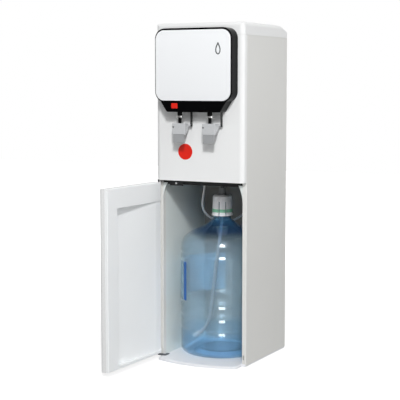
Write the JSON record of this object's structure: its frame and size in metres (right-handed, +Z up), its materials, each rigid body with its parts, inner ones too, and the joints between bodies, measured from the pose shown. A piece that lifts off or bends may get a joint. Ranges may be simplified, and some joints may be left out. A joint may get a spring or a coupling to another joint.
{
  "type": "bottom load water cooler",
  "caption": "Tall slim water cooler with push-lever taps under a rounded drink head and a side-hung door over a bay that holds a large water bottle.",
  "frame": {"origin": "middle of the cabinet's footprint, on the floor plane under the base tray", "axes": "+Z up, -Y to the front (drink head and door), +X to the right hand seen from the front"},
  "size_m": [0.3285, 0.6253, 1.045],
  "materials": {
    "painted_steel": "semi-gloss",
    "white_plastic": "satin",
    "gloss_white": "gloss",
    "black_plastic": "gloss",
    "black_nylon": "satin",
    "red_plastic": "satin",
    "blue_plastic": "satin",
    "grey_plastic": "satin",
    "dark_grey_plastic": "satin",
    "bottle_plastic": "gloss",
    "cap_plastic": "satin",
    "clear_tube": "gloss",
    "silicone_hose": "satin",
    "steel": "brushed",
    "zinc_steel": "satin",
    "black_steel": "semi-gloss",
    "brass": "satin",
    "rubber": "matt",
    "foam": "matt"
  },
  "bodies": {
    "cabinet": {"base_tray": "white_plastic", "right_side_panel": "painted_steel", "left_side_panel": "painted_steel", "rear_panel": "zinc_steel", "top_lid": "white_plastic", "upper_front_panel": "white_plastic", "head_housing": "black_plastic", "head_face_plate": "gloss_white", "safety_button_guide": "black_nylon", "hot_tap_body": "black_nylon", "hot_tap_yoke": "black_nylon", "cold_tap_body": "black_nylon", "cold_tap_yoke": "black_nylon", "tap_collars": "steel", "lever_pins": "steel", "tap_nuts": "brass", "right_bay_wall": "painted_steel", "left_bay_wall": "painted_steel", "bay_rear_wall": "painted_steel", "bay_ceiling": "black_steel", "bay_gussets": "painted_steel", "water_bottle": "bottle_plastic", "bottle_cap": "cap_plastic", "cap_band": "cap_plastic", "dip_tube": "clear_tube", "dip_tube_strainer": "white_plastic", "cap_connector": "grey_plastic", "suction_riser": "grey_plastic", "water_pump": "black_nylon", "pump_bracket": "zinc_steel", "hose_gland": "grey_plastic", "water_hose": "silicone_hose", "lower_hinge": "black_steel", "upper_hinge": "black_steel", "hinge_screw": "steel", "compressor": "black_steel", "compressor_grommets": "rubber", "tank_shelf": "zinc_steel", "hot_tank": "steel", "cold_tank": "foam", "hot_water_pipe": "silicone_hose", "cold_water_pipe": "silicone_hose", "drain_pipe": "silicone_hose", "drain_cap": "grey_plastic", "power_gland": "rubber", "condenser_coil": "black_steel", "condenser_wires": "black_steel", "condenser_clips": "black_nylon", "rocker_bezels": "black_nylon", "rear_screws": "steel"},
    "door": {"door_shell": "white_plastic", "door_liner": "white_plastic"},
    "hot_lever": {"hot_tap_lever": "grey_plastic", "hot_lever_pad": "dark_grey_plastic"},
    "cold_lever": {"cold_tap_lever": "grey_plastic", "cold_lever_pad": "dark_grey_plastic"},
    "hot_button": {"hot_safety_button": "red_plastic"},
    "hot_switch": {"hot_rocker": "red_plastic"},
    "cold_switch": {"cold_rocker": "blue_plastic"}
  },
  "joints": [
    {"name": "door_hinge", "type": "hinge", "parent": "cabinet", "child": "door", "pos_m": [-0.148, -0.1595, 0.286], "axis": [0, 0, 1], "range_deg": [-18, 92]},
    {"name": "hot_lever_pivot", "type": "hinge", "parent": "cabinet", "child": "hot_lever", "pos_m": [-0.051, -0.1815, 0.737], "axis": [1, 0, 0], "range_deg": [0, 12], "stiffness_Nm_per_rad": 0.5, "springref_deg": -14.32},
    {"name": "cold_lever_pivot", "type": "hinge", "parent": "cabinet", "child": "cold_lever", "pos_m": [0.051, -0.1815, 0.737], "axis": [1, 0, 0], "range_deg": [0, 12], "stiffness_Nm_per_rad": 0.5, "springref_deg": -14.32},
    {"name": "hot_button_press", "type": "slide", "parent": "cabinet", "child": "hot_button", "axis": [0, 1, 0], "range_m": [0, 0.0025], "stiffness_N_per_m": 700, "springref_m": -0.0015},
    {"name": "hot_switch_rock", "type": "hinge", "parent": "cabinet", "child": "hot_switch", "pos_m": [-0.024, 0.1493, 0.975], "axis": [1, 0, 0], "range_deg": [0, 16]},
    {"name": "cold_switch_rock", "type": "hinge", "parent": "cabinet", "child": "cold_switch", "pos_m": [0.024, 0.1493, 0.975], "axis": [1, 0, 0], "range_deg": [0, 16]}
  ]
}
